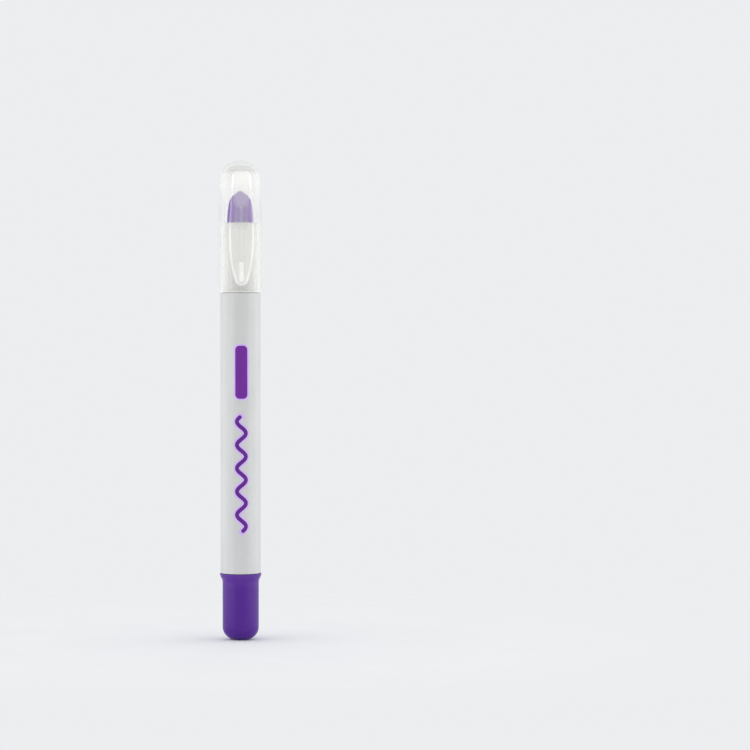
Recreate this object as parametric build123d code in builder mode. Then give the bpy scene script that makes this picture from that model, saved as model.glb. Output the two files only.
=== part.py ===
from build123d import *
import math
import os

# Twist-up gel crayon, upright on the end of its knob, with the cap on.
# Millimetres. Z runs along the crayon from the knob to the cap, and the clip faces -Y.

# Lengths along the axis
knob_length = 18.5
barrel_length = 78.0
nose_reach = 19.4
nose_spigot = 8.65
tip_reach = 9.0
tip_room = 6.95
stick_length = 41.35

# Clearances, radial or along the axis
knob_gap = 0.15
cap_seat_gap = 0.1
cap_fit = 0.12
press_clearance = 0.03
running_clearance = 0.1
thrust_gap = 0.05
thread_clearance = 0.18
shank_clearance = 0.3
slide_clearance = 0.15
stick_clearance = 0.125
guide_clearance = 0.2
drive_end_gap = 0.2
retract_gap = 1.0

# Gel stick
stick_diameter = 7.3
taper_length = 5.4
taper_inset = 0.55
bullet_length = 2.35
point_diameter = 3.2
point_height = 1.05

# Nose sleeve under the cap
nose_wall = 0.825
nose_taper = 0.1
nose_step = 0.02
nose_lip = 0.3

# Barrel
barrel_wall = 0.9
barrel_edge = 0.25

# Twist knob
knob_inset = 0.6
foot_diameter = 3.0
flange_proud = 0.13
flare_length = 2.5
knob_wall = 1.1
knob_floor = 2.0
boss_wall = 0.8
socket_floor = 8.45
rib_thickness = 0.8
rib_drop = 4.0
rib_count = 4

# Lead screw, with a left-hand thread
screw_diameter = 4.0
screw_core = 2.8
screw_lead = 3.0
thread_root_width = 1.5
thread_crest_width = 0.8
thread_runout = 1.5
thread_sink = 0.15
collar_lip = 1.2
collar_height = 1.25
drive_square = 2.6

# Rear bush and guide tube
bush_length = 6.35
bush_key_height = 1.0
slot_width = 1.8
slot_margin = 2.0

# Plunger that carries the stick
retract_travel = 10.5
nut_length = 6.0
wing_length = 5.0
shank_wall = 0.8
cup_wall = 0.45
cup_floor = 0.9
cup_depth = 6.0

# Cap
cap_mouth_wall = 1.4
cap_top_wall = 0.73
cap_ledge = 0.38
cap_ledge_drop = 2.2
cap_dome = 4.95
dome_corner = 3.6
cap_roof = 1.35
cap_lip = 0.25

# Pocket clip, moulded with the cap
clip_standoff = 1.2
clip_thickness = 1.05
clip_top_drop = 3.35
clip_tip_height = 1.8
clip_top_width = 5.0
clip_width = 6.95
clip_waist_height = 14.5
clip_straight = 3.0
clip_tip_radius = 1.9
clip_crown_radius = 17.0
clip_shoulder = 1.9
clip_shoulder_depth = 1.4
clip_bevel = 0.55
clip_bevel_depth = 0.4
bridge_width = 3.7
bridge_length = 9.6
bead_width = 1.4
bead_crest = 0.4
bead_length = 5.6
bead_rise = 1.05
bead_gap = 0.15

# Shares that keep a rounding inside its own wall or dome
edge_share = 0.33
corner_share = 0.9
# Extra turns that carry the nut's cutting thread out of both its ends
spare_turns = 3

# Stations along the axis
barrel_rear = knob_length + knob_gap
barrel_front = barrel_rear + barrel_length
nose_rear = barrel_front - nose_spigot
nose_mouth = barrel_front + nose_reach
tip_apex = nose_mouth + tip_reach
cap_rim = barrel_front + cap_seat_gap
cap_top = tip_apex + tip_room + cap_roof
dome_base = cap_top - cap_dome
bush_front = barrel_rear + bush_length
collar_rear = bush_front + thrust_gap
collar_front = collar_rear + collar_height
drive_end = socket_floor + drive_end_gap
stick_base = tip_apex - stick_length
cup_base = stick_base - cup_floor
cup_rim = stick_base + cup_depth
screw_end = cup_base - retract_travel - retract_gap
thread_start = collar_front + thread_runout
thread_turns = (screw_end - thread_runout - thread_start) / screw_lead
nut_rear = collar_front + retract_gap + retract_travel
nut_front = nut_rear + nut_length
slot_front = screw_end + slot_margin

# Radii from the stick outwards, so that each piece fits the one inside it
stick_radius = stick_diameter / 2
nose_bore_radius = stick_radius + stick_clearance
nose_mouth_radius = nose_bore_radius + nose_wall
nose_base_radius = nose_mouth_radius + nose_taper
insert_radius = nose_base_radius + nose_step
barrel_bore_radius = insert_radius + press_clearance
barrel_radius = barrel_bore_radius + barrel_wall
cap_bore_radius = nose_base_radius + cap_fit
cap_mouth_radius = cap_bore_radius + cap_mouth_wall
chamber_radius = cap_bore_radius + cap_ledge
cap_top_radius = chamber_radius + cap_top_wall
cup_radius = stick_radius
cup_bore_radius = cup_radius - cup_wall
neck_radius = cup_bore_radius - press_clearance
guide_bore_radius = cup_radius + guide_clearance
journal_radius = screw_diameter / 2
shank_bore_radius = journal_radius + shank_clearance
shank_radius = shank_bore_radius + shank_wall
wing_radius = insert_radius - slide_clearance
wing_width = slot_width - 2 * slide_clearance
knob_radius = barrel_radius - knob_inset
knob_corner = knob_radius - foot_diameter / 2
flange_radius = barrel_radius + flange_proud
socket_square = drive_square + 2 * press_clearance
boss_radius = socket_square / math.sqrt(2) + boss_wall


def threaded_rod(start, turns, spare):
    """A core with a left-hand thread from start on, larger all over by the spare room asked for."""
    core_radius = screw_core / 2 + spare
    ridge_height = (screw_diameter - screw_core) / 2
    root_half = thread_root_width / 2 + spare
    crest_half = thread_crest_width / 2 + spare
    with BuildPart() as rod:
        with BuildSketch(Plane.XY.offset(start - thread_runout)):
            Circle(core_radius)
        extrude(amount=turns * screw_lead + 2 * thread_runout)
        with BuildLine() as path:
            helix = Helix(
                screw_lead, turns * screw_lead, core_radius, center=(0, 0, start), lefthand=True
            )
        with BuildSketch(Plane(origin=helix @ 0, x_dir=(1, 0, 0), z_dir=helix % 0)):
            with BuildLine():
                Polyline(
                    (-thread_sink, -root_half),
                    (ridge_height, -crest_half),
                    (ridge_height, crest_half),
                    (-thread_sink, root_half),
                    close=True,
                )
            make_face()
        sweep(path=path.line, is_frenet=True)
    return rod.part


def dome_arcs(radius, base, rise, corner):
    """Half the outline of a flattened dome: a corner arc that runs into a flatter crown arc."""
    inset = radius - corner
    crown = (inset**2 + rise**2 - corner**2) / (2 * (rise - corner))
    turn = math.degrees(math.atan2(crown - rise, inset))
    shoulder = JernArc((radius, base), (0, 1), corner, turn)
    TangentArc(shoulder @ 1, (0, base + rise), tangent=shoulder % 1)


def rounded_cup(radius, floor, rim, corner):
    """Half the outline of a cup with a flat floor and a rounded lower corner, open line at the side."""
    Polyline((radius, rim), (0, rim), (0, floor), (radius - corner, floor))
    RadiusArc((radius - corner, floor), (radius, floor + corner), -corner)


# Barrel: a plain parallel tube
with BuildPart() as barrel:
    with BuildSketch(Plane.XY.offset(barrel_rear)):
        Circle(barrel_radius)
        Circle(barrel_bore_radius, mode=Mode.SUBTRACT)
    extrude(amount=barrel_length)
    front_rim = barrel.edges().group_by(Axis.Z)[-1].sort_by(SortBy.LENGTH)[-1]
    fillet(front_rim, min(barrel_edge, barrel_wall / 2))

# Nose: the sleeve that guides the stick, pressed into the front of the barrel
with BuildPart() as nose:
    with BuildSketch(Plane.XZ):
        with BuildLine():
            Polyline(
                (nose_bore_radius, nose_rear),
                (insert_radius, nose_rear),
                (insert_radius, barrel_front),
                (nose_base_radius, barrel_front),
                (nose_mouth_radius, nose_mouth),
                (nose_bore_radius, nose_mouth),
                close=True,
            )
        make_face()
    revolve(axis=Axis.Z)
    mouth_rim = nose.edges().group_by(Axis.Z)[-1].sort_by(SortBy.LENGTH)[-1]
    fillet(mouth_rim, min(nose_lip, nose_wall / 2))

# Rear bush: the bearing of the screw, with two keys that hold the guide tube by its slots
with BuildPart() as rear_bush:
    with BuildSketch(Plane.XY.offset(barrel_rear)):
        Circle(insert_radius)
        Circle(journal_radius + running_clearance, mode=Mode.SUBTRACT)
    extrude(amount=bush_length)
    with BuildSketch(Plane.XY.offset(bush_front)):
        Circle(insert_radius)
        Circle(guide_bore_radius, mode=Mode.SUBTRACT)
        Rectangle(2 * insert_radius, wing_width, mode=Mode.INTERSECT)
    extrude(amount=bush_key_height)

# Guide tube: its two slots, open at the rear, keep the plunger from turning
with BuildPart() as guide_tube:
    with BuildSketch(Plane.XY.offset(bush_front)):
        Circle(insert_radius)
        Circle(guide_bore_radius, mode=Mode.SUBTRACT)
    extrude(amount=nose_rear - bush_front)
    with BuildSketch(Plane.XY.offset(bush_front)):
        Rectangle(2 * barrel_radius, slot_width)
    extrude(amount=slot_front - bush_front, mode=Mode.SUBTRACT)

# Lead screw: square drive end, journal, thrust collar and thread
with BuildPart() as lead_screw:
    with BuildSketch(Plane.XY.offset(drive_end)):
        Rectangle(drive_square, drive_square)
    extrude(amount=barrel_rear - drive_end)
    with BuildSketch(Plane.XY.offset(barrel_rear)):
        Circle(journal_radius)
    extrude(amount=collar_rear - barrel_rear)
    with BuildSketch(Plane.XY.offset(collar_rear)):
        Circle(journal_radius + collar_lip)
    extrude(amount=collar_height)
    add(threaded_rod(thread_start, thread_turns, spare=0))

# Twist knob: a hollow moulding with a flared rim, ribs and a central socket for the screw
with BuildPart() as twist_knob:
    with BuildSketch(Plane.XZ):
        with BuildLine():
            rounded_cup(knob_radius, 0, knob_length, knob_corner)
            Line((knob_radius, knob_corner), (knob_radius, knob_length))
        make_face()
        with BuildLine():
            flare_foot = knob_length - flare_length
            bend = 2 * math.atan2(flange_radius - knob_radius, flare_length)
            bend_radius = flare_length / (2 * math.sin(bend))
            hollow = JernArc((knob_radius, flare_foot), (0, 1), bend_radius, -math.degrees(bend))
            crest = JernArc(hollow @ 1, hollow % 1, bend_radius, math.degrees(bend))
            Polyline(crest @ 1, (0, knob_length), (0, flare_foot), hollow @ 0)
        make_face()
    revolve(axis=Axis.Z)
    cavity_radius = knob_radius - knob_wall
    cavity_corner = knob_corner - knob_wall
    with BuildSketch(Plane.XZ):
        with BuildLine():
            rounded_cup(cavity_radius, knob_floor, knob_length, cavity_corner)
            Line((cavity_radius, knob_floor + cavity_corner), (cavity_radius, knob_length))
        make_face()
    revolve(axis=Axis.Z, mode=Mode.SUBTRACT)
    with BuildSketch(Plane.XY.offset(knob_floor)):
        Circle(boss_radius)
    extrude(amount=knob_length - knob_floor)
    with BuildSketch(Plane.XY.offset(knob_corner)):
        with PolarLocations(0, rib_count):
            Rectangle(cavity_radius + knob_wall / 2, rib_thickness, align=(Align.MIN, Align.CENTER))
    extrude(amount=knob_length - rib_drop - knob_corner)
    with BuildSketch(Plane.XY.offset(socket_floor)):
        Rectangle(socket_square, socket_square)
    extrude(amount=knob_length - socket_floor, mode=Mode.SUBTRACT)

# Plunger: nut with two wings, hollow shank over the screw, and the cup for the stick
with BuildPart() as plunger:
    with BuildSketch(Plane.XY.offset(nut_rear)):
        Circle(shank_radius)
    extrude(amount=cup_base - nut_rear)
    with BuildSketch(Plane.XY.offset(nut_rear)):
        Rectangle(2 * wing_radius, wing_width)
        Circle(wing_radius, mode=Mode.INTERSECT)
    extrude(amount=wing_length)
    with BuildSketch(Plane.XY.offset(cup_base)):
        Circle(cup_radius)
    extrude(amount=cup_rim - cup_base)
    with BuildSketch(Plane.XY.offset(stick_base)):
        Circle(cup_bore_radius)
    extrude(amount=cup_depth, mode=Mode.SUBTRACT)
    with BuildSketch(Plane.XY.offset(nut_front)):
        Circle(shank_bore_radius)
    extrude(amount=cup_base - nut_front, mode=Mode.SUBTRACT)
    turns_below = math.floor((nut_rear - thread_start) / screw_lead) - 1
    turns_through = math.ceil(nut_length / screw_lead) + spare_turns
    tap_start = thread_start + turns_below * screw_lead
    add(threaded_rod(tap_start, turns_through, spare=thread_clearance), mode=Mode.SUBTRACT)

# Gel stick: necked base in the cup, parallel body and pointed bullet tip
with BuildPart() as gel_stick:
    with BuildSketch(Plane.XZ):
        with BuildLine():
            point_base = tip_apex - point_height
            taper_front = point_base - bullet_length
            taper = TangentArc(
                (stick_radius, taper_front - taper_length),
                (stick_radius - taper_inset, taper_front),
                tangent=(0, 1),
            )
            bullet = TangentArc(taper @ 1, (point_diameter / 2, point_base), tangent=taper % 1)
            Polyline(
                bullet @ 1,
                (0, tip_apex),
                (0, stick_base),
                (neck_radius, stick_base),
                (neck_radius, cup_rim),
                (stick_radius, cup_rim),
                taper @ 0,
            )
        make_face()
    revolve(axis=Axis.Z)

# Cap: clear shell with a flattened dome, its clip standing off the front
with BuildPart() as cap:
    # The clip's arm and shoulder, turned about an axis behind it so that its face is crowned
    clip_inner = cap_mouth_radius + clip_standoff
    clip_outer = clip_inner + clip_thickness
    clip_top = cap_top - clip_top_drop
    clip_tip = cap_rim + clip_tip_height
    with BuildSketch(Plane.YZ):
        with BuildLine():
            Polyline(
                (-clip_outer + clip_shoulder, clip_top),
                (-chamber_radius, clip_top),
                (-chamber_radius, clip_top - clip_shoulder_depth),
                (-clip_inner, clip_top - clip_shoulder_depth),
                (-clip_inner, clip_tip),
                (-clip_outer, clip_tip),
                (-clip_outer, clip_top - clip_shoulder),
            )
            RadiusArc(
                (-clip_outer, clip_top - clip_shoulder),
                (-clip_outer + clip_shoulder, clip_top),
                clip_shoulder,
            )
        make_face()
    revolve(axis=Axis((0, clip_crown_radius - clip_outer, 0), (0, 0, 1)))
    # The clip's outline from the front: tapered above, and drawn in by large arcs to a round tip
    with BuildSketch(Plane.XZ):
        with BuildLine():
            half_width = clip_width / 2
            half_top = clip_top_width / 2
            waist = cap_rim + clip_waist_height
            fall = waist - clip_tip - clip_tip_radius
            side_radius = (fall**2 + half_width**2 - clip_tip_radius**2) / (
                2 * (half_width - clip_tip_radius)
            )
            lean = math.atan2(-fall, side_radius - half_width)
            joint_x = half_width - side_radius + side_radius * math.cos(lean)
            joint_z = waist + side_radius * math.sin(lean)
            RadiusArc((half_width, waist), (joint_x, joint_z), side_radius)
            ThreePointArc((joint_x, joint_z), (0, clip_tip), (-joint_x, joint_z))
            RadiusArc((-joint_x, joint_z), (-half_width, waist), side_radius)
            Polyline(
                (-half_width, waist),
                (-half_width, waist + clip_straight),
                (-half_top, clip_top),
                (half_top, clip_top),
                (half_width, waist + clip_straight),
                (half_width, waist),
            )
        make_face()
    extrude(amount=clip_outer, mode=Mode.INTERSECT)
    clip_face = cap.faces().sort_by(Axis.Y)[0]
    chamfer(
        clip_face.edges().sort_by(Axis.Z)[:-1],
        length=clip_bevel,
        length2=min(clip_bevel_depth, clip_thickness / 2),
        reference=clip_face,
    )
    # The bridge behind the clip's upper end, with a round foot
    bridge_centre = clip_top - bridge_length + bridge_width / 2
    with BuildSketch(Plane.XZ.offset(chamber_radius)):
        with Locations((0, bridge_centre)):
            Circle(bridge_width / 2)
            Rectangle(bridge_width, clip_top - bridge_centre, align=(Align.CENTER, Align.MIN))
    extrude(amount=clip_inner + clip_thickness / 2 - chamber_radius)
    # The grip bead behind the clip's tip, a ridge that narrows towards the cap
    bead_flank = (bead_width - bead_crest) / 2
    bead_depth = clip_standoff - bead_gap
    with BuildSketch(Plane.XZ.offset(cap_mouth_radius + bead_gap)):
        with Locations((0, clip_tip + bead_rise + bead_length / 2)):
            SlotOverall(bead_length - 2 * bead_flank, bead_crest, rotation=90)
    extrude(
        amount=bead_depth + clip_thickness / 2,
        taper=-math.degrees(math.atan2(bead_flank, bead_depth)),
    )
    # The shell, and the bore with its ledge and roof
    with BuildSketch(Plane.XZ):
        with BuildLine():
            dome_arcs(cap_top_radius, dome_base, cap_dome, min(dome_corner, corner_share * cap_dome))
            Polyline(
                (0, cap_top), (0, cap_rim), (cap_mouth_radius, cap_rim), (cap_top_radius, dome_base)
            )
        make_face()
    revolve(axis=Axis.Z)
    with BuildSketch(Plane.XZ):
        with BuildLine():
            roof_rise = cap_dome - cap_roof
            roof_corner = min(dome_corner - cap_top_wall, corner_share * roof_rise)
            ledge = nose_mouth - cap_ledge_drop
            dome_arcs(chamber_radius, dome_base, roof_rise, roof_corner)
            Polyline(
                (0, dome_base + roof_rise),
                (0, cap_rim),
                (cap_bore_radius, cap_rim),
                (cap_bore_radius, ledge),
                (chamber_radius, ledge),
                (chamber_radius, dome_base),
            )
        make_face()
    revolve(axis=Axis.Z, mode=Mode.SUBTRACT)
    fillet(cap.edges().group_by(Axis.Z)[0], min(cap_lip, edge_share * cap_mouth_wall))

pieces = {
    "barrel": barrel,
    "nose": nose,
    "rear_bush": rear_bush,
    "guide_tube": guide_tube,
    "lead_screw": lead_screw,
    "twist_knob": twist_knob,
    "plunger": plunger,
    "gel_stick": gel_stick,
    "cap": cap,
}
os.makedirs("parts", exist_ok=True)
for name, piece in pieces.items():
    piece.part.label = name
    export_step(piece.part, f"parts/{name}.step")
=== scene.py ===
import math

import bpy
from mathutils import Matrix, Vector


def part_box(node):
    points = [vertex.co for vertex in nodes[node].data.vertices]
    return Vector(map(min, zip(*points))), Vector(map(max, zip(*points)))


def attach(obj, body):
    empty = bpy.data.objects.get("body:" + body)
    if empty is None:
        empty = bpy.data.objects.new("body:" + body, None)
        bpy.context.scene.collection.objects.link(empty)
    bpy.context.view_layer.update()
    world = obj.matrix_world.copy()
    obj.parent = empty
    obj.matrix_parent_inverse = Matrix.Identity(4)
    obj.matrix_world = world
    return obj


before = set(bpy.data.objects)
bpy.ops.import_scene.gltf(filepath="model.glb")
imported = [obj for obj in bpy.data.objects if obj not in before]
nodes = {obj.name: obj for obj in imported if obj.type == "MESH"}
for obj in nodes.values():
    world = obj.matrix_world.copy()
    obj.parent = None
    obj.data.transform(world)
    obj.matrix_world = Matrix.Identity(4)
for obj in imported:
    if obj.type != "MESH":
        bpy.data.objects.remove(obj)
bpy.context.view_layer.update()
scene = bpy.context.scene
MM = 0.001

# Places on the cap and its clip, in millimetres. Heights along the crayon start from boxes in the frame
cap_low, cap_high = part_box("cap")
CAP_RIM = cap_low[2] / MM
# Height of the band at the cap's rim that gets a painted highlight
RIM_EDGE = 0.45
CLIP_DROP = 3.35
CLIP_TOP = cap_high[2] / MM - CLIP_DROP
CLIP_INNER = 7.3
CLIP_SIDE = 4.5
ROOT_LENGTH, ROOT_SOLID = 5.6, 3.3
BRIDGE_LENGTH, BRIDGE_HALF_WIDTH = 9.6, 1.85
BRIDGE_LOW = CLIP_TOP - BRIDGE_LENGTH + BRIDGE_HALF_WIDTH
# The clip's bead, which gets a painted highlight
BEAD_RISE, BEAD_LENGTH, BEAD_HALF_WIDTH = 3.5, 4.3, 0.6
BEAD_LOW = CAP_RIM + BEAD_RISE
BEAD_HIGH = BEAD_LOW + BEAD_LENGTH
# A faint painted highlight stripe down the middle of the clip
STRIPE_GAP, STRIPE_HALF_WIDTH = 1.4, 0.25
STRIPE_LOW, STRIPE_HIGH = BEAD_HIGH + STRIPE_GAP, BRIDGE_LOW - BRIDGE_HALF_WIDTH
NOSE_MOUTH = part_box("nose")[1][2] / MM
BLADE_ABOVE_MOUTH, BLADE_BELOW_MOUTH = 0.6, 2.4
# How far below and above the clip's top the painted shade under the roof fades in
CROWN_BELOW_CLIP, CROWN_ABOVE_CLIP = 0.1, 0.7

# Clear plastic: how a face lies, and the shares of hazy white, partly real haze and partly painted glow
# and painted highlights
SIDEWAYS, FLAT = 0.9, 0.95
ROOF_LEAN, WALL_LEAN = -0.5, -0.05
SOFT_INSIDE, SOFT_OUTSIDE = 0.75, 1.2
MILK_FACE_ON, MILK_EDGE_ON = 0.02, 0.7
CLIP_EDGE_ON = 0.4
# Root and bridge: haze where the moulding is thicker, with a painted glow. Bevels: painted glow. Bead,
# stripe and rim: painted highlights.
CLIP_MILK, BLADE_MILK, ROOT_MILK_AND_GLOW = 0.13, 0.27, 0.66
BEVEL_GLOW, BLADE_BEVEL_GLOW = 0.05, 0.06
BRIDGE_MILK_AND_GLOW, BEAD_HIGHLIGHT, STRIPE_HIGHLIGHT, RIM_HIGHLIGHT = 0.16, 0.42, 0.04, 0.3

# Moulded plastic: cells per metre and detail of its noises, and the depth of its texture in metres
PLASTIC_IOR = 1.49
CLOUD_CELLS, CLOUD_DETAIL, CLOUD_STRETCH = 260, 4, (1, 1, 0.35)
PATCH_CELLS = 900
GRAIN_CELLS, GRAIN_DETAIL, GRAIN_DEPTH = 5200, 2, 0.00002
TINT_CELLS, POLISH_CELLS = 200, 700
SSS_RADIUS, SSS_SCALE = (1.0, 0.8, 1.0), 0.0008

# Painted light on the knob: lighter up its thin flange than on the part below, as light shows through
# the thin plastic. Millimetres
FLANGE_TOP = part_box("twist_knob")[1][2] / MM
FLANGE_LIGHT_FADE = 4.0

# Sockets of a Mix node that is set to colours
MIX_A, MIX_B, MIX_RESULT = 6, 7, 2

# Print on the barrel. Millimetres, and counts of rows and columns
barrel_low, barrel_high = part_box("barrel")
BARREL_RADIUS = (barrel_high[0] - barrel_low[0]) / 2 / MM
INK = 0.012
FILM_COLUMNS = 10
BADGE_LOW, BADGE_HIGH = 67.3, 82.0
BADGE_HALF_WIDTH, BADGE_CORNER, CORNER_ROWS = 1.7, 1.2, 10
WAVE_LOW, WAVE_HIGH = 30.3, 62.6
WAVE_SWING, WAVE_COUNT, WAVE_ROWS = 1.25, 5, 240
STROKE_HALF_WIDTH, OUTLINE = 0.55, 0.45
LEAST_SQUARE = 1e-6

# Stage: colours, and lengths in metres
PALE = (0.839, 0.855, 0.871)
ROOM_FRONT, ROOM_BACK = (0.752, 0.757, 0.761), (0.978, 0.982, 0.987)
FLOOR_RADIUS, FLOOR_SOLID = 0.16, 0.03
FLOOR_RINGS, FLOOR_SPOKES = 12, 64
FLOOR_DROP = 0.02 * MM
FLOOR_CELLS, FLOOR_ROUGHNESS, FLOOR_GLOSS = 40, 0.9, 0.1
FLOOR_LOW, FLOOR_HIGH = (0.846, 0.856, 0.872), (0.862, 0.872, 0.888)
LAMP_DISTANCE, LAMP_HEIGHT, LAMP_TARGET = 0.75, 0.12, 0.067
LAMP_SIZE, LAMP_POWER, LAMP_AZIMUTH = (1.2, 0.9), 3.1, 80

# Camera: the photograph's own place and scale for this crayon
PHOTO_WIDTH = 750
MM_PER_PIXEL = 0.2785
AXIS_X, FOOT_Y = 240.4, 639.6
EYE_DISTANCE, EYE_AZIMUTH, EYE_HEIGHT = 0.85, math.radians(-2.5), 0.097
SENSOR_WIDTH = 36.0


# Node helpers

def new_material(name):
    """A material with a Principled shader on its output."""
    mat = bpy.data.materials.new(name)
    mat.use_nodes = True
    tree = mat.node_tree
    tree.nodes.clear()
    shader = tree.nodes.new("ShaderNodeBsdfPrincipled")
    out = tree.nodes.new("ShaderNodeOutputMaterial")
    tree.links.new(shader.outputs[0], out.inputs["Surface"])
    return mat, tree, shader


def show(tree, shader):
    """Put another shader on the material's output."""
    out = next(n for n in tree.nodes if n.type == "OUTPUT_MATERIAL")
    tree.links.new(shader.outputs[0], out.inputs["Surface"])


def layer(tree, share, below, above):
    """Two shaders mixed, with the upper one's share set by a socket."""
    mix = tree.nodes.new("ShaderNodeMixShader")
    tree.links.new(share, mix.inputs[0])
    tree.links.new(below.outputs[0], mix.inputs[1])
    tree.links.new(above.outputs[0], mix.inputs[2])
    return mix


def parts_of(tree, vector):
    """X, Y and Z of a vector socket."""
    node = tree.nodes.new("ShaderNodeSeparateXYZ")
    tree.links.new(vector, node.inputs[0])
    return node.outputs


def place_of(tree):
    """X, Y and Z of the shaded point in the row frame, in metres."""
    coord = tree.nodes.new("ShaderNodeTexCoord")
    return parts_of(tree, coord.outputs["Object"])


def noise(tree, cells, detail=3, stretch=(1, 1, 1)):
    """Noise in the row frame, with its cells per metre."""
    coord = tree.nodes.new("ShaderNodeTexCoord")
    mapping = tree.nodes.new("ShaderNodeMapping")
    mapping.inputs["Scale"].default_value = stretch
    tex = tree.nodes.new("ShaderNodeTexNoise")
    tex.inputs["Scale"].default_value = cells
    tex.inputs["Detail"].default_value = detail
    tree.links.new(coord.outputs["Object"], mapping.inputs["Vector"])
    tree.links.new(mapping.outputs[0], tex.inputs["Vector"])
    return tex.outputs["Fac"]


def ramp(tree, fac, low, high, start=0.35, end=0.65):
    """A colour between low and high, as fac goes from start to end."""
    node = tree.nodes.new("ShaderNodeValToRGB")
    node.color_ramp.elements[0].position = start
    node.color_ramp.elements[1].position = end
    node.color_ramp.elements[0].color = (*low, 1)
    node.color_ramp.elements[1].color = (*high, 1)
    tree.links.new(fac, node.inputs[0])
    return node.outputs[0]


def spread(tree, fac, low, high, start=0.3, end=0.7):
    """A number between low and high, as fac goes from start to end."""
    node = tree.nodes.new("ShaderNodeMapRange")
    node.inputs["From Min"].default_value = start
    node.inputs["From Max"].default_value = end
    node.inputs["To Min"].default_value = low
    node.inputs["To Max"].default_value = high
    tree.links.new(fac, node.inputs[0])
    return node.outputs[0]


def maths(tree, operation, a, b):
    """A Math node on two sockets or numbers."""
    node = tree.nodes.new("ShaderNodeMath")
    node.operation = operation
    for value, socket in zip((a, b), node.inputs):
        if isinstance(value, (int, float)):
            socket.default_value = value
        else:
            tree.links.new(value, socket)
    return node.outputs[0]


# Moulded plastic

def moulded(name, low, high, rough, grain=0.12, gloss=0.5, sss=0.0):
    """Moulded plastic: clouded colour, a patchy sheen and a fine texture."""
    mat, tree, shader = new_material(name)
    clouds = noise(tree, CLOUD_CELLS, CLOUD_DETAIL, CLOUD_STRETCH)
    tree.links.new(ramp(tree, clouds, low, high), shader.inputs["Base Color"])
    patches = noise(tree, PATCH_CELLS)
    tree.links.new(spread(tree, patches, *rough), shader.inputs["Roughness"])
    texture = tree.nodes.new("ShaderNodeBump")
    texture.inputs["Strength"].default_value = grain
    texture.inputs["Distance"].default_value = GRAIN_DEPTH
    tree.links.new(noise(tree, GRAIN_CELLS, GRAIN_DETAIL), texture.inputs["Height"])
    tree.links.new(texture.outputs[0], shader.inputs["Normal"])
    shader.inputs["IOR"].default_value = PLASTIC_IOR
    shader.inputs["Specular IOR Level"].default_value = gloss
    if sss:
        shader.inputs["Subsurface Weight"].default_value = sss
        shader.inputs["Subsurface Radius"].default_value = SSS_RADIUS
        shader.inputs["Subsurface Scale"].default_value = SSS_SCALE
    return mat


def paint_light_up_flange(mat, colour):
    """Blend the base colour towards a lighter one up the knob's thin flange: painted light showing
    through the thin plastic.
    """
    tree = mat.node_tree
    shader = next(n for n in tree.nodes if n.type == "BSDF_PRINCIPLED")
    base = shader.inputs["Base Color"].links[0].from_socket
    near_top = ((FLANGE_TOP - FLANGE_LIGHT_FADE) * MM, FLANGE_TOP * MM)
    mix = tree.nodes.new("ShaderNodeMix")
    mix.data_type = "RGBA"
    tree.links.new(spread(tree, place_of(tree)["Z"], 0.0, 1.0, *near_top), mix.inputs["Factor"])
    tree.links.new(base, mix.inputs[MIX_A])
    mix.inputs[MIX_B].default_value = (*colour, 1)
    tree.links.new(mix.outputs[MIX_RESULT], shader.inputs["Base Color"])


# Clear plastic

def pill_mask(tree, place, low, high, half_width):
    """1 inside an upright pill shape on the clip's side of the crayon, fading to 0. Millimetres."""
    near = maths(tree, "MINIMUM", maths(tree, "MAXIMUM", place["Z"], low * MM), high * MM)
    rise = maths(tree, "SUBTRACT", place["Z"], near)
    across_squared = maths(tree, "MULTIPLY", place["X"], place["X"])
    rise_squared = maths(tree, "MULTIPLY", rise, rise)
    squares = maths(tree, "ADD", across_squared, rise_squared)
    full = (SOFT_INSIDE * half_width * MM) ** 2
    gone = (SOFT_OUTSIDE * half_width * MM) ** 2
    inside = spread(tree, squares, 1.0, 0.0, full, gone)
    return maths(tree, "MULTIPLY", inside, maths(tree, "LESS_THAN", place["Y"], -CLIP_SIDE * MM))


def roof_shade_mask(tree, place, normal, geometry, outside):
    """Painted shade: 1 on the underside of the cap's roof, which is darkened, 0 on its walls."""
    crown_fade = ((CLIP_TOP - CROWN_BELOW_CLIP) * MM, (CLIP_TOP + CROWN_ABOVE_CLIP) * MM)
    crown = spread(tree, place["Z"], 0.0, 1.0, *crown_fade)
    outward = maths(tree, "SUBTRACT", outside, geometry["Backfacing"])
    lean = maths(tree, "MULTIPLY", normal["Z"], outward)
    return maths(tree, "MULTIPLY", crown, spread(tree, lean, 1.0, 0.0, ROOF_LEAN, WALL_LEAN))


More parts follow.
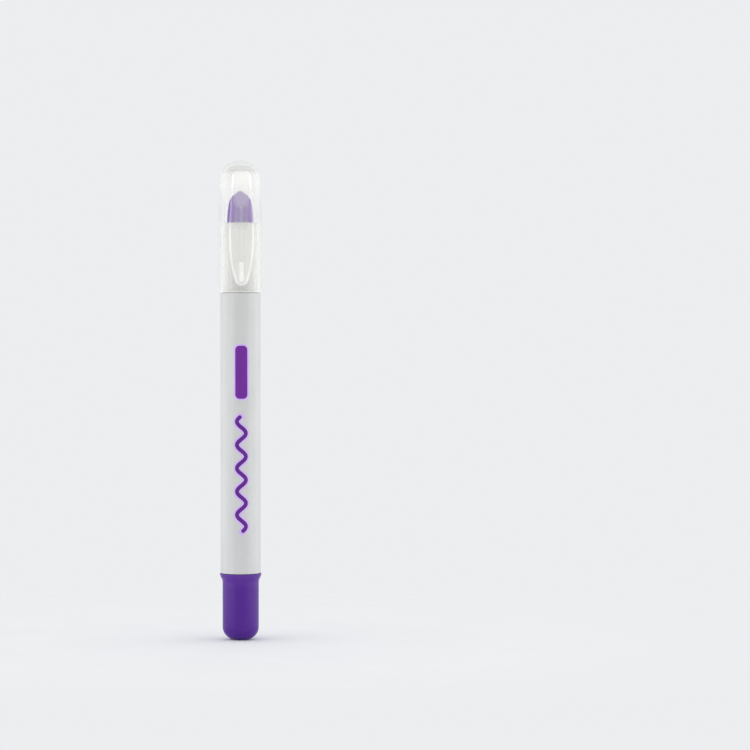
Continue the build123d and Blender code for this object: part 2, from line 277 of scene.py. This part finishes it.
def haze_and_painted_glow(tree, place, normal):
    """The share of hazy white: more edge on and where the moulding is thicker. On the clip's root and
    bridge it is partly a painted glow, on its bevels a painted glow, and on its bead, a stripe and the
    rim painted highlights.
    """
    clip = maths(tree, "LESS_THAN", place["Y"], -CLIP_INNER * MM)
    sideways = maths(tree, "ABSOLUTE", normal["X"], 0.0)
    broad = maths(tree, "MULTIPLY", clip, maths(tree, "LESS_THAN", sideways, SIDEWAYS))
    frontal = maths(tree, "ABSOLUTE", normal["Y"], 0.0)
    bevel = maths(tree, "MULTIPLY", broad, maths(tree, "LESS_THAN", frontal, FLAT))
    root_fade = ((CLIP_TOP - ROOT_LENGTH) * MM, (CLIP_TOP - ROOT_SOLID) * MM)
    root = maths(tree, "MULTIPLY", broad, spread(tree, place["Z"], 0.0, 1.0, *root_fade))
    blade_fade = ((NOSE_MOUTH + BLADE_ABOVE_MOUTH) * MM, (NOSE_MOUTH - BLADE_BELOW_MOUTH) * MM)
    blade = maths(tree, "MULTIPLY", broad, spread(tree, place["Z"], 0.0, 1.0, *blade_fade))
    # Painted glow on the root, bridge and bevels, with real haze on the root and bridge; painted
    # highlights on the bead, stripe and rim
    shares_of_haze_and_glow = (
        (clip, CLIP_MILK),
        (blade, BLADE_MILK),
        (bevel, BEVEL_GLOW),
        (maths(tree, "MULTIPLY", bevel, blade), BLADE_BEVEL_GLOW),
        (root, ROOT_MILK_AND_GLOW),
        (pill_mask(tree, place, BRIDGE_LOW, CLIP_TOP, BRIDGE_HALF_WIDTH), BRIDGE_MILK_AND_GLOW),
        (pill_mask(tree, place, BEAD_LOW, BEAD_HIGH, BEAD_HALF_WIDTH), BEAD_HIGHLIGHT),
        (pill_mask(tree, place, STRIPE_LOW, STRIPE_HIGH, STRIPE_HALF_WIDTH), STRIPE_HIGHLIGHT),
        (maths(tree, "LESS_THAN", place["Z"], (CAP_RIM + RIM_EDGE) * MM), RIM_HIGHLIGHT),
    )
    edge = tree.nodes.new("ShaderNodeLayerWeight")
    edge.inputs["Blend"].default_value = 0.5
    grazing = maths(tree, "POWER", edge.outputs["Facing"], 2.0)
    edge_haze = spread(tree, grazing, MILK_FACE_ON, MILK_EDGE_ON, 0.0, 1.0)
    haze = maths(tree, "MULTIPLY", edge_haze, spread(tree, clip, 1.0, CLIP_EDGE_ON, 0.0, 1.0))
    for mask, share in shares_of_haze_and_glow:
        haze = maths(tree, "ADD", haze, maths(tree, "MULTIPLY", mask, share))
    return haze


def clear_plastic():
    """Clear moulded plastic: see-through and glossy, hazy white in places, with painted glow and
    painted highlights on the clip and the rim, and painted shade under the cap's roof.
    """
    mat, tree, white_haze_and_glow = new_material("clear_plastic")
    tint = ramp(tree, noise(tree, TINT_CELLS), (0.96, 0.96, 0.925), (0.99, 0.99, 0.955))
    tree.links.new(tint, white_haze_and_glow.inputs["Base Color"])
    polish = spread(tree, noise(tree, POLISH_CELLS), 0.05, 0.12)
    tree.links.new(polish, white_haze_and_glow.inputs["Roughness"])
    white_haze_and_glow.inputs["IOR"].default_value = PLASTIC_IOR
    place = place_of(tree)
    geometry = tree.nodes.new("ShaderNodeNewGeometry").outputs
    normal = parts_of(tree, geometry["Normal"])
    outside = maths(tree, "SUBTRACT", 1.0, geometry["Backfacing"])
    sheet = tree.nodes.new("ShaderNodeBsdfTransparent")
    roof = roof_shade_mask(tree, place, normal, geometry, outside)
    # Painted shade: the see-through colour turns grey under the cap's roof
    clarity_with_roof_shade = ramp(tree, roof, (0.99, 0.99, 0.985), (0.89, 0.89, 0.87), 0.0, 1.0)
    tree.links.new(clarity_with_roof_shade, sheet.inputs[0])
    shine = tree.nodes.new("ShaderNodeBsdfGlossy")
    tree.links.new(polish, shine.inputs["Roughness"])
    fresnel = tree.nodes.new("ShaderNodeFresnel")
    fresnel.inputs["IOR"].default_value = PLASTIC_IOR
    mirror = maths(tree, "MULTIPLY", fresnel.outputs[0], outside)
    haze_and_glow_layer = layer(tree, haze_and_painted_glow(tree, place, normal), sheet, white_haze_and_glow)
    show(tree, layer(tree, mirror, haze_and_glow_layer, shine))
    return mat


# Finishes of the nine solids and of the ink

WHITE_ROUGH, NOSE_ROUGH = (0.16, 0.24), (0.2, 0.3)
SOFT_ROUGH, WAXY_ROUGH = (0.3, 0.4), (0.42, 0.55)
INK_FINISH = {"rough": SOFT_ROUGH, "grain": 0.05, "gloss": 0.3}

white = moulded("white_plastic", (0.575, 0.58, 0.58), (0.606, 0.611, 0.611), WHITE_ROUGH)
# Painted light: the nose's white is lighter than the barrel's, standing in for light that reaches it
# through the cap
nose_white_painted_light = moulded("nose_plastic_painted_light", (0.66, 0.665, 0.66), (0.692, 0.697, 0.692), NOSE_ROUGH)
natural = moulded("natural_plastic", (0.60, 0.59, 0.55), (0.68, 0.67, 0.63), SOFT_ROUGH, sss=0.2)
purple = moulded(
    "coloured_plastic",
    (0.066, 0.0053, 0.236),
    (0.0745, 0.0075, 0.26),
    SOFT_ROUGH,
    grain=0.2,
    gloss=0.35,
)
# Painted light up the knob's thin flange
paint_light_up_flange(purple, (0.106, 0.0225, 0.304))
gel = moulded(
    "coloured_gel",
    (0.112, 0.0032, 0.341),
    (0.133, 0.0064, 0.383),
    WAXY_ROUGH,
    grain=0.3,
    gloss=0.2,
    sss=0.15,
)
clear = clear_plastic()
badge_ink = moulded("badge_ink", (0.138, 0.0149, 0.277), (0.16, 0.0192, 0.309), **INK_FINISH)
stroke_ink = moulded("stroke_ink", (0.0957, 0.0117, 0.213), (0.117, 0.016, 0.256), **INK_FINISH)
pale_ink = moulded("pale_ink", (0.617, 0.426, 0.89), (0.67, 0.468, 0.95), **INK_FINISH)
finish_of = {
    "barrel": white,
    "nose": nose_white_painted_light,
    "rear_bush": natural,
    "guide_tube": natural,
    "lead_screw": natural,
    "plunger": natural,
    "twist_knob": purple,
    "gel_stick": gel,
    "cap": clear,
}
for name, mat in finish_of.items():
    nodes[name].data.materials.clear()
    nodes[name].data.materials.append(mat)


# Print: a plain badge and a wavy stroke, each with a pale outline, as thin films of ink on the barrel

def on_barrel(u, v, lift):
    """A point on the barrel's front: u round it, v along the crayon, lift above it. Millimetres."""
    radius = BARREL_RADIUS + lift
    turn = u / BARREL_RADIUS
    return (radius * math.sin(turn) * MM, -radius * math.cos(turn) * MM, v * MM)


def ink_film(name, ends, coats, mat):
    """A closed film of ink, from rows of left and right ends on the flat, wrapped round the barrel."""
    wide = FILM_COLUMNS + 1
    below = len(ends) * wide
    verts, faces = [], []
    for lift in (coats * INK, 0.0):
        for (left_u, left_v), (right_u, right_v) in ends:
            for c in range(wide):
                t = c / FILM_COLUMNS
                u = left_u + t * (right_u - left_u)
                v = left_v + t * (right_v - left_v)
                verts.append(on_barrel(u, v, lift))
    for r in range(len(ends) - 1):
        for c in range(FILM_COLUMNS):
            a, b = r * wide + c, (r + 1) * wide + c
            faces.append((a, a + 1, b + 1, b))
            faces.append((below + b, below + b + 1, below + a + 1, below + a))
    last = (len(ends) - 1) * wide
    rim = list(range(wide)) + [r * wide + FILM_COLUMNS for r in range(1, len(ends))]
    rim += [last + c for c in range(FILM_COLUMNS - 1, -1, -1)]
    rim += [r * wide for r in range(len(ends) - 2, 0, -1)]
    for a, b in zip(rim, rim[1:] + rim[:1]):
        faces.append((b, a, below + a, below + b))
    mesh = bpy.data.meshes.new(name)
    mesh.from_pydata(verts, [], faces)
    mesh.update()
    mesh.materials.append(mat)
    piece = bpy.data.objects.new(name, mesh)
    scene.collection.objects.link(piece)
    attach(piece, "barrel_body")


def badge_ends(extra):
    """Rows of a rounded rectangle, larger all round by extra, with more rows at its round corners."""
    rows = []
    corner = BADGE_CORNER + extra
    half_width = BADGE_HALF_WIDTH + extra
    for low_end in (True, False):
        for k in range(CORNER_ROWS + 1):
            a = math.pi / 2 * (k if low_end else CORNER_ROWS - k) / CORNER_ROWS
            inset = corner * (1 - math.sin(a))
            rise = corner * (1 - math.cos(a)) - extra
            v = BADGE_LOW + rise if low_end else BADGE_HIGH - rise
            rows.append(((-half_width + inset, v), (half_width - inset, v)))
    return rows


def wave_ends(half_width, extra):
    """Rows across a wavy stroke with round ends, longer at each end by extra."""
    low, high = WAVE_LOW - extra, WAVE_HIGH + extra
    wavenumber = 2 * math.pi * WAVE_COUNT / (WAVE_HIGH - WAVE_LOW)
    rows = []
    for k in range(WAVE_ROWS + 1):
        v = low + (high - low) * k / WAVE_ROWS
        phase = wavenumber * (v - WAVE_LOW)
        u = WAVE_SWING * math.sin(phase)
        slope = WAVE_SWING * wavenumber * math.cos(phase)
        length = math.hypot(slope, 1)
        from_end = min(v - low, high - v) * length
        half = half_width
        if from_end < half_width:
            half = math.sqrt(max(half_width**2 - (half_width - from_end) ** 2, LEAST_SQUARE))
        across = (half / length, -half * slope / length)
        rows.append(((u - across[0], v - across[1]), (u + across[0], v + across[1])))
    return rows


ink_film("print_badge_outline", badge_ends(OUTLINE), 1, pale_ink)
ink_film("print_badge", badge_ends(0.0), 2, badge_ink)
ink_film("print_wave_outline", wave_ends(STROKE_HALF_WIDTH + OUTLINE, OUTLINE), 1, pale_ink)
ink_film("print_wave", wave_ends(STROKE_HALF_WIDTH, 0.0), 2, stroke_ink)


# Stage: a pale room, and a pale floor that keeps the shadow and fades into the room

def pale_room():
    """A world that lights softly from all round, and that the camera sees as an even pale grey."""
    world = bpy.data.worlds.new("studio")
    world.use_nodes = True
    tree = world.node_tree
    tree.nodes.clear()
    coord = tree.nodes.new("ShaderNodeTexCoord")
    towards = parts_of(tree, coord.outputs["Generated"])
    backward = spread(tree, towards["Y"], 0.0, 1.0, -1.0, 1.0)
    room = tree.nodes.new("ShaderNodeBackground")
    tree.links.new(ramp(tree, backward, ROOM_FRONT, ROOM_BACK, 0.0, 1.0), room.inputs["Color"])
    backdrop = tree.nodes.new("ShaderNodeBackground")
    backdrop.inputs["Color"].default_value = (*PALE, 1)
    path = tree.nodes.new("ShaderNodeLightPath")
    seen = path.outputs["Is Camera Ray"]
    for ray in ("Is Glossy Ray", "Is Transmission Ray"):
        seen = maths(tree, "MAXIMUM", seen, path.outputs[ray])
    out = tree.nodes.new("ShaderNodeOutputWorld")
    tree.links.new(layer(tree, seen, room, backdrop).outputs[0], out.inputs["Surface"])
    scene.world = world


def floor_material():
    """A pale matte floor: solid near the crayon, gone at its rim and clear from below."""
    mat, tree, shader = new_material("floor")
    colour = ramp(tree, noise(tree, FLOOR_CELLS), FLOOR_LOW, FLOOR_HIGH)
    tree.links.new(colour, shader.inputs["Base Color"])
    shader.inputs["Roughness"].default_value = FLOOR_ROUGHNESS
    shader.inputs["Specular IOR Level"].default_value = FLOOR_GLOSS
    coord = tree.nodes.new("ShaderNodeTexCoord")
    reach = tree.nodes.new("ShaderNodeVectorMath")
    reach.operation = "LENGTH"
    tree.links.new(coord.outputs["Object"], reach.inputs[0])
    fade = tree.nodes.new("ShaderNodeMapRange")
    fade.interpolation_type = "SMOOTHSTEP"
    fade.inputs["From Min"].default_value = FLOOR_SOLID
    fade.inputs["From Max"].default_value = FLOOR_RADIUS
    tree.links.new(reach.outputs["Value"], fade.inputs[0])
    gone = tree.nodes.new("ShaderNodeBsdfTransparent")
    geometry = tree.nodes.new("ShaderNodeNewGeometry").outputs
    see_through = maths(tree, "MAXIMUM", fade.outputs[0], geometry["Backfacing"])
    show(tree, layer(tree, see_through, shader, gone))
    return mat


def pale_floor():
    """A round floor just under the crayon."""
    verts = [(0, 0, 0)]
    for r in range(1, FLOOR_RINGS + 1):
        radius = FLOOR_RADIUS * r / FLOOR_RINGS
        for s in range(FLOOR_SPOKES):
            a = 2 * math.pi * s / FLOOR_SPOKES
            verts.append((radius * math.cos(a), radius * math.sin(a), 0))
    faces = [(0, 1 + s, 1 + (s + 1) % FLOOR_SPOKES) for s in range(FLOOR_SPOKES)]
    for r in range(FLOOR_RINGS - 1):
        first = 1 + r * FLOOR_SPOKES
        for s in range(FLOOR_SPOKES):
            a, b = first + s, first + (s + 1) % FLOOR_SPOKES
            faces.append((a, a + FLOOR_SPOKES, b + FLOOR_SPOKES, b))
    mesh = bpy.data.meshes.new("floor")
    mesh.from_pydata(verts, [], faces)
    mesh.materials.append(floor_material())
    floor = bpy.data.objects.new("floor", mesh)
    floor.location.z = -FLOOR_DROP
    scene.collection.objects.link(floor)


def softbox(name, azimuth):
    """A rectangular lamp that faces the crayon. Azimuth 0 is the camera's side, 90 the right."""
    data = bpy.data.lights.new(name, "AREA")
    data.shape = "RECTANGLE"
    data.size, data.size_y = LAMP_SIZE
    data.energy = LAMP_POWER
    lamp = bpy.data.objects.new(name, data)
    a = math.radians(azimuth)
    lamp.location = (LAMP_DISTANCE * math.sin(a), -LAMP_DISTANCE * math.cos(a), LAMP_HEIGHT)
    look = Vector((0, 0, LAMP_TARGET)) - lamp.location
    lamp.rotation_euler = look.to_track_quat("-Z", "Y").to_euler()
    scene.collection.objects.link(lamp)


pale_room()
pale_floor()
softbox("softbox_left", -LAMP_AZIMUTH)
softbox("softbox_right", LAMP_AZIMUTH)

cam_data = bpy.data.cameras.new("camera")
cam = bpy.data.objects.new("camera", cam_data)
scene.collection.objects.link(cam)
scene.camera = cam
pixel = MM_PER_PIXEL * MM
cam_data.sensor_width = SENSOR_WIDTH
cam_data.lens = SENSOR_WIDTH * EYE_DISTANCE / (PHOTO_WIDTH * pixel)
cam_data.clip_start, cam_data.clip_end = 0.01, 20
cam.location = (EYE_DISTANCE * math.sin(EYE_AZIMUTH), -EYE_DISTANCE * math.cos(EYE_AZIMUTH), EYE_HEIGHT)
right = Vector((math.cos(EYE_AZIMUTH), math.sin(EYE_AZIMUTH), 0))
middle = PHOTO_WIDTH / 2
aim = right * (middle - AXIS_X) * pixel + Vector((0, 0, (FOOT_Y - middle) * pixel))
cam.rotation_mode = "QUATERNION"
cam.rotation_quaternion = (aim - cam.location).to_track_quat("-Z", "Y")

scene.view_settings.view_transform = "Standard"
